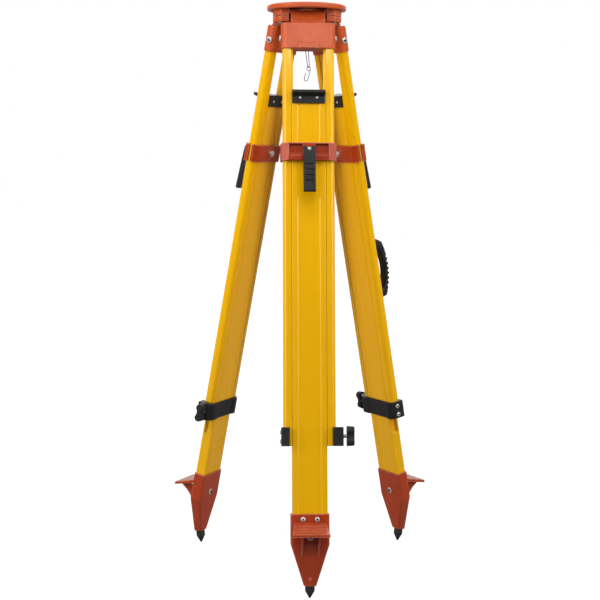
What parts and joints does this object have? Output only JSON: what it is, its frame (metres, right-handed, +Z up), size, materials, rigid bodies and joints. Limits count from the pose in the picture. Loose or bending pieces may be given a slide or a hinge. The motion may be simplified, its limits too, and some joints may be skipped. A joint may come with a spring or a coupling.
{
  "type": "surveying tripod",
  "caption": "Surveying tripod with a round flat head, extending two-rail legs, lever clamps, thumb screws, pointed shoes with foot lugs, a carry handle and a plumb hook.",
  "frame": {"origin": "centre of the head's top face, on the axis of the instrument screw", "axes": "+Z up along the instrument screw, -Y towards the front leg, +X to the right of it"},
  "size_m": [0.5596, 0.488, 1.1752],
  "materials": {
    "orange_paint": "satin orange-red powder coat on cast aluminium",
    "yellow_fibreglass": "semi-gloss yellow fibreglass with fine lengthwise fibres",
    "black_plastic": "matte black moulded plastic with a fine grain",
    "zinc_steel": "bright zinc-plated steel",
    "dark_steel": "dark tempered steel",
    "brass_ring": "turned brass"
  },
  "bodies": {
    "head": {"head_plate": "orange_paint", "hinge_caps": "orange_paint", "hinge_pins": "zinc_steel", "hinge_bolts": "zinc_steel", "arm_screw": "zinc_steel"},
    "front_upper_leg": {"front_leg_casting": "orange_paint", "front_left_rail": "yellow_fibreglass", "front_right_rail": "yellow_fibreglass", "front_upper_fasteners": "zinc_steel", "front_lower_clamp": "black_plastic"},
    "front_thumb_stud": {"front_thumb_stud": "zinc_steel"},
    "front_thumb_knob": {"front_thumb_knob": "black_plastic"},
    "front_lower_leg": {"front_lower_leg": "yellow_fibreglass", "front_end_cap": "black_plastic", "front_front_yoke": "orange_paint", "front_back_yoke": "orange_paint", "front_draw_bolt": "zinc_steel", "front_shoe": "orange_paint", "front_point": "dark_steel", "front_lower_fasteners": "zinc_steel"},
    "front_lever": {"front_clamp_lever": "black_plastic"},
    "right_upper_leg": {"right_leg_casting": "orange_paint", "right_left_rail": "yellow_fibreglass", "right_right_rail": "yellow_fibreglass", "right_upper_fasteners": "zinc_steel", "right_lower_clamp": "black_plastic"},
    "right_thumb_stud": {"right_thumb_stud": "zinc_steel"},
    "right_thumb_knob": {"right_thumb_knob": "black_plastic"},
    "right_lower_leg": {"right_lower_leg": "yellow_fibreglass", "right_end_cap": "black_plastic", "right_front_yoke": "orange_paint", "right_back_yoke": "orange_paint", "right_draw_bolt": "zinc_steel", "right_shoe": "orange_paint", "right_point": "dark_steel", "right_lower_fasteners": "zinc_steel", "carry_handle": "black_plastic"},
    "right_lever": {"right_clamp_lever": "black_plastic"},
    "left_upper_leg": {"left_leg_casting": "orange_paint", "left_left_rail": "yellow_fibreglass", "left_right_rail": "yellow_fibreglass", "left_upper_fasteners": "zinc_steel", "left_lower_clamp": "black_plastic"},
    "left_thumb_stud": {"left_thumb_stud": "zinc_steel"},
    "left_thumb_knob": {"left_thumb_knob": "black_plastic"},
    "left_lower_leg": {"left_lower_leg": "yellow_fibreglass", "left_end_cap": "black_plastic", "left_front_yoke": "orange_paint", "left_back_yoke": "orange_paint", "left_draw_bolt": "zinc_steel", "left_shoe": "orange_paint", "left_point": "dark_steel", "left_lower_fasteners": "zinc_steel"},
    "left_lever": {"left_clamp_lever": "black_plastic"},
    "screw_arm": {"screw_arm": "zinc_steel"},
    "screw_ring": {"screw_ring": "brass_ring"},
    "screw": {"instrument_screw": "brass_ring", "screw_knob": "black_plastic"},
    "plumb_link": {"plumb_link": "zinc_steel"},
    "plumb_hook": {"plumb_hook": "zinc_steel"}
  },
  "joints": [
    {"name": "front_leg_spread", "type": "hinge", "parent": "head", "child": "front_upper_leg", "pos_m": [0, -0.041, -0.0245], "axis": [-1, 0, 0], "range_deg": [-9.9, 22]},
    {"name": "front_leg_slide", "type": "slide", "parent": "front_upper_leg", "child": "front_lower_leg", "axis": [0, -0.1891, -0.982], "range_m": [-0.03, 0.52]},
    {"name": "front_lever_flip", "type": "hinge", "parent": "front_lower_leg", "child": "front_lever", "pos_m": [0, -0.13154, -0.29374], "axis": [-1, 0, 0], "range_deg": [0, 100]},
    {"name": "front_thumb_travel", "type": "slide", "parent": "front_upper_leg", "child": "front_thumb_stud", "axis": [1, 0, 0], "range_m": [0, 0.0025]},
    {"name": "front_thumb_turn", "type": "hinge", "parent": "front_thumb_stud", "child": "front_thumb_knob", "pos_m": [0.08, -0.20842, -0.85686], "axis": [1, 0, 0], "range_deg": [0, 722]},
    {"name": "right_leg_spread", "type": "hinge", "parent": "head", "child": "right_upper_leg", "pos_m": [0.03551, 0.0205, -0.0245], "axis": [0.5, -0.866, 0], "range_deg": [-9.9, 22]},
    {"name": "right_leg_slide", "type": "slide", "parent": "right_upper_leg", "child": "right_lower_leg", "axis": [0.1638, 0.0945, -0.982], "range_m": [-0.03, 0.52]},
    {"name": "right_lever_flip", "type": "hinge", "parent": "right_lower_leg", "child": "right_lever", "pos_m": [0.11392, 0.06577, -0.29374], "axis": [0.5, -0.866, 0], "range_deg": [0, 100]},
    {"name": "right_thumb_travel", "type": "slide", "parent": "right_upper_leg", "child": "right_thumb_stud", "axis": [-0.5, 0.866, 0], "range_m": [0, 0.0025]},
    {"name": "right_thumb_turn", "type": "hinge", "parent": "right_thumb_stud", "child": "right_thumb_knob", "pos_m": [0.14049, 0.17349, -0.85686], "axis": [-0.5, 0.866, 0], "range_deg": [0, 722]},
    {"name": "left_leg_spread", "type": "hinge", "parent": "head", "child": "left_upper_leg", "pos_m": [-0.03551, 0.0205, -0.0245], "axis": [0.5, 0.866, 0], "range_deg": [-9.9, 22]},
    {"name": "left_leg_slide", "type": "slide", "parent": "left_upper_leg", "child": "left_lower_leg", "axis": [-0.1638, 0.0945, -0.982], "range_m": [-0.03, 0.52]},
    {"name": "left_lever_flip", "type": "hinge", "parent": "left_lower_leg", "child": "left_lever", "pos_m": [-0.11392, 0.06577, -0.29374], "axis": [0.5, 0.866, 0], "range_deg": [0, 100]},
    {"name": "left_thumb_travel", "type": "slide", "parent": "left_upper_leg", "child": "left_thumb_stud", "axis": [-0.5, -0.866, 0], "range_m": [0, 0.0025]},
    {"name": "left_thumb_turn", "type": "hinge", "parent": "left_thumb_stud", "child": "left_thumb_knob", "pos_m": [-0.22049, 0.03493, -0.85686], "axis": [-0.5, -0.866, 0], "range_deg": [0, 722]},
    {"name": "screw_arm_swing", "type": "hinge", "parent": "head", "child": "screw_arm", "pos_m": [0, 0.037, -0.0145], "axis": [0, 0, 1], "range_deg": [-20, 20]},
    {"name": "screw_lift", "type": "slide", "parent": "screw_arm", "child": "screw_ring", "axis": [0, 0, 1], "range_m": [0, 0.015]},
    {"name": "screw_turn", "type": "hinge", "parent": "screw_ring", "child": "screw", "pos_m": [0, 0, -0.01], "axis": [0, 0, 1], "continuous": true},
    {"name": "link_swing", "type": "hinge", "parent": "screw", "child": "plumb_link", "pos_m": [0, 0, -0.084], "axis": [0.6428, 0.766, 0], "range_deg": [-40, 40]},
    {"name": "hook_swing", "type": "hinge", "parent": "plumb_link", "child": "plumb_hook", "pos_m": [0.00546, 0.00651, -0.125], "axis": [0.6428, 0.766, 0], "range_deg": [-40, 40]}
  ],
  "couplings": [
    {"joint": "front_thumb_turn", "follows": "front_thumb_travel", "rad_per_m": 5026.5},
    {"joint": "right_thumb_turn", "follows": "right_thumb_travel", "rad_per_m": 5026.5},
    {"joint": "left_thumb_turn", "follows": "left_thumb_travel", "rad_per_m": 5026.5}
  ]
}
